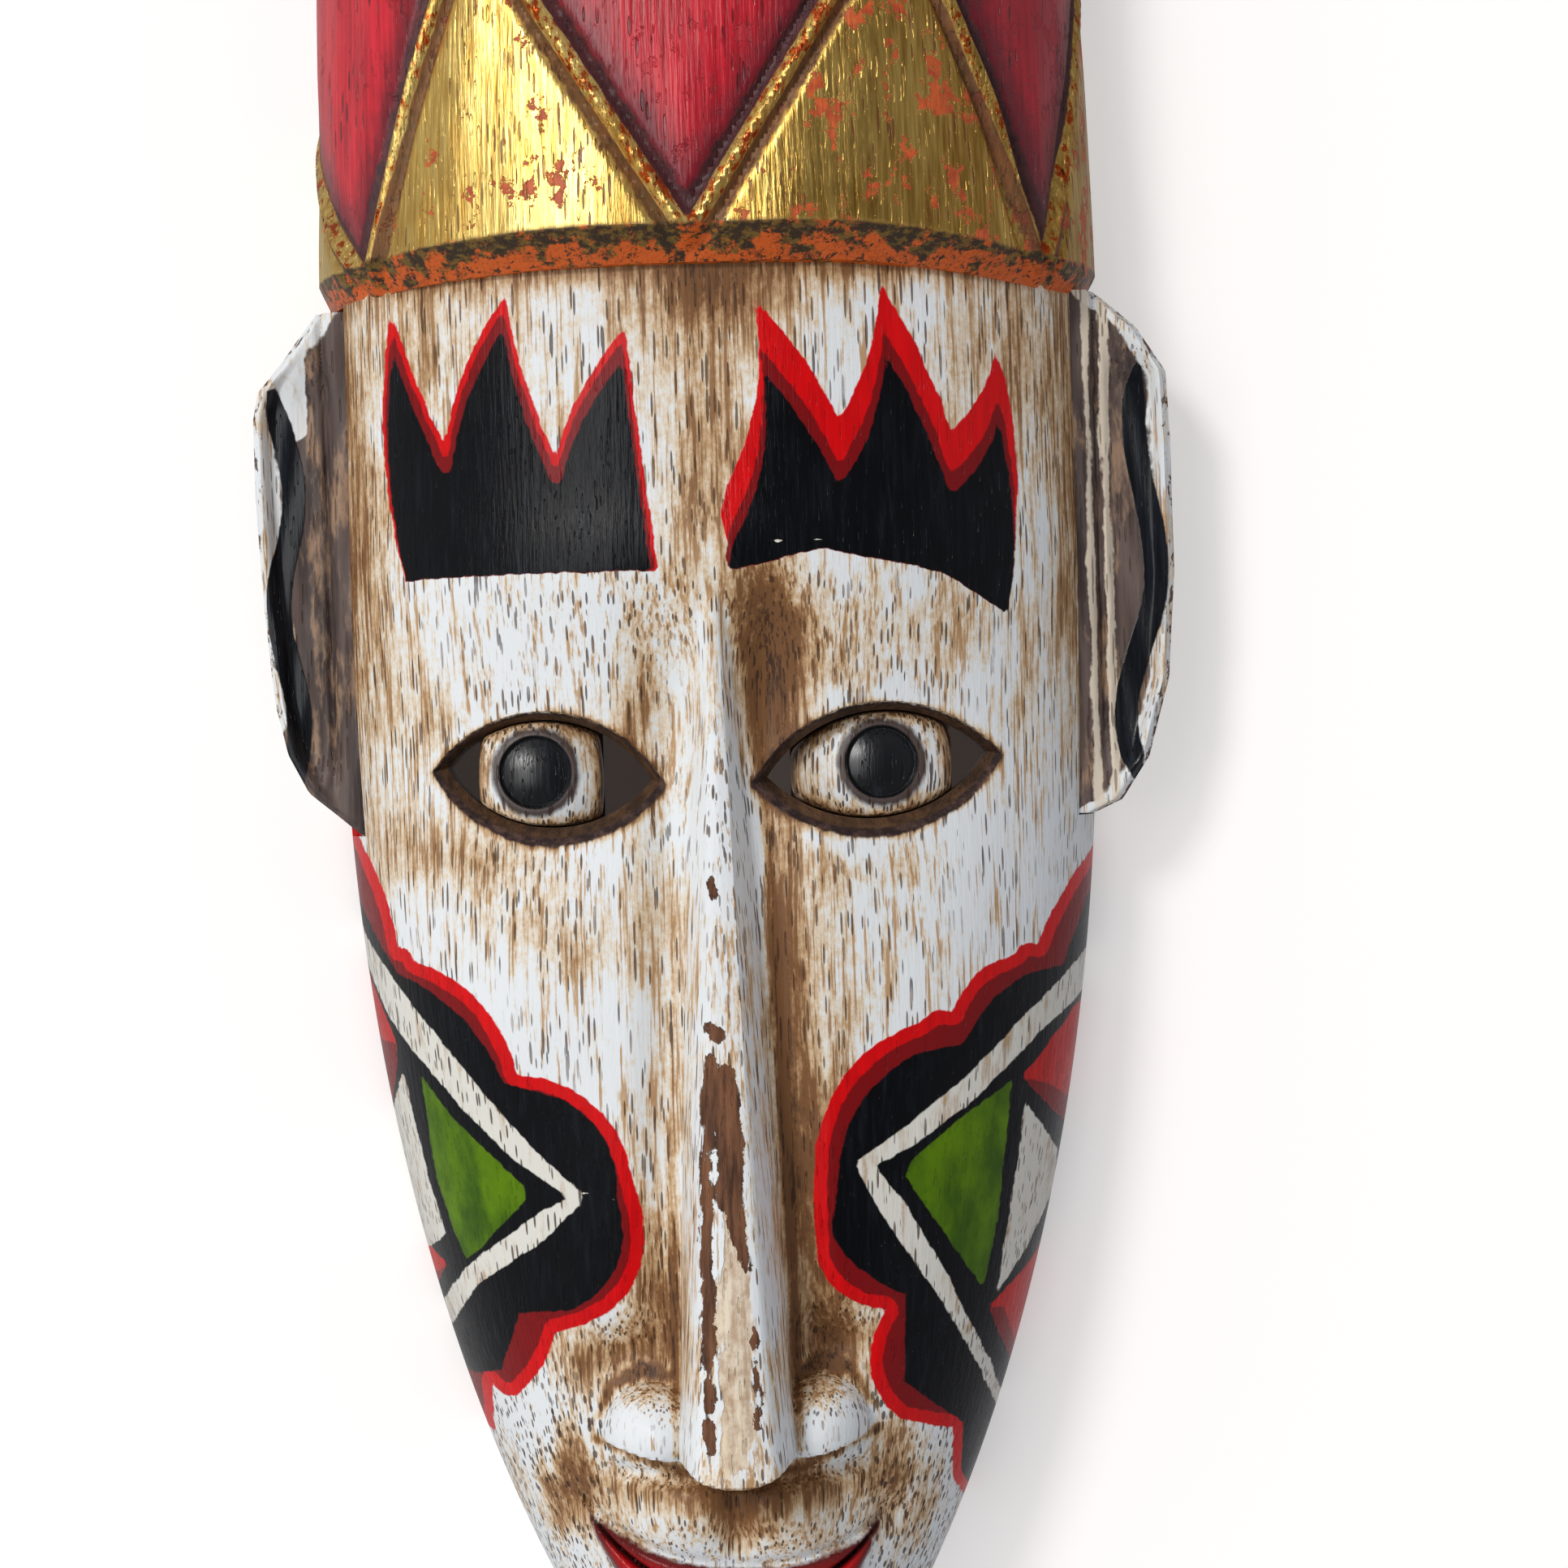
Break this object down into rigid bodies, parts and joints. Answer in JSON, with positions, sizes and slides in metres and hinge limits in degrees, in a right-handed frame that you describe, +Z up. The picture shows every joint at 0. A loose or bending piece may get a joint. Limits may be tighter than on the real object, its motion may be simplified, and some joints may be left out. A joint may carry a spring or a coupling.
{
  "type": "carved wall mask",
  "caption": "Long carved and painted wooden wall mask with a hollow back, pierced eyes, plank ears, a tall carved crown and a ring hanger.",
  "frame": {"origin": "where the hanging nail meets the wall, on the mask's centre line", "axes": "+Z up, the face looks along -Y, +X to the viewer's right; the wall is the plane y = 0"},
  "size_m": [0.163, 0.0746, 0.424],
  "materials": {
    "painted_face": "antiqued bluish-white paint with painted red, black and green motifs",
    "gilded_crown": "rubbed gold leaf and glossy crimson over carved wood",
    "painted_ears": "worn grey-white paint with brown stain",
    "painted_eyes": "off-white paint with black pupils",
    "bare_wood": "unfinished wood",
    "zinc_plate": "zinc plated"
  },
  "bodies": {
    "mask": {"carved_face": "painted_face", "carved_crown": "gilded_crown", "left_ear": "painted_ears", "right_ear": "painted_ears", "left_eye": "painted_eyes", "right_eye": "painted_eyes", "crown_dowels": "bare_wood", "ear_pegs": "bare_wood", "hanger_strap": "zinc_plate", "hanger_screws": "zinc_plate"},
    "ring": {"hanger_ring": "zinc_plate"}
  },
  "joints": [
    {"name": "ring_swing", "type": "hinge", "parent": "mask", "child": "ring", "pos_m": [0, -0.0026, -0.00834], "axis": [-1, 0, 0], "range_deg": [0, 165]}
  ]
}
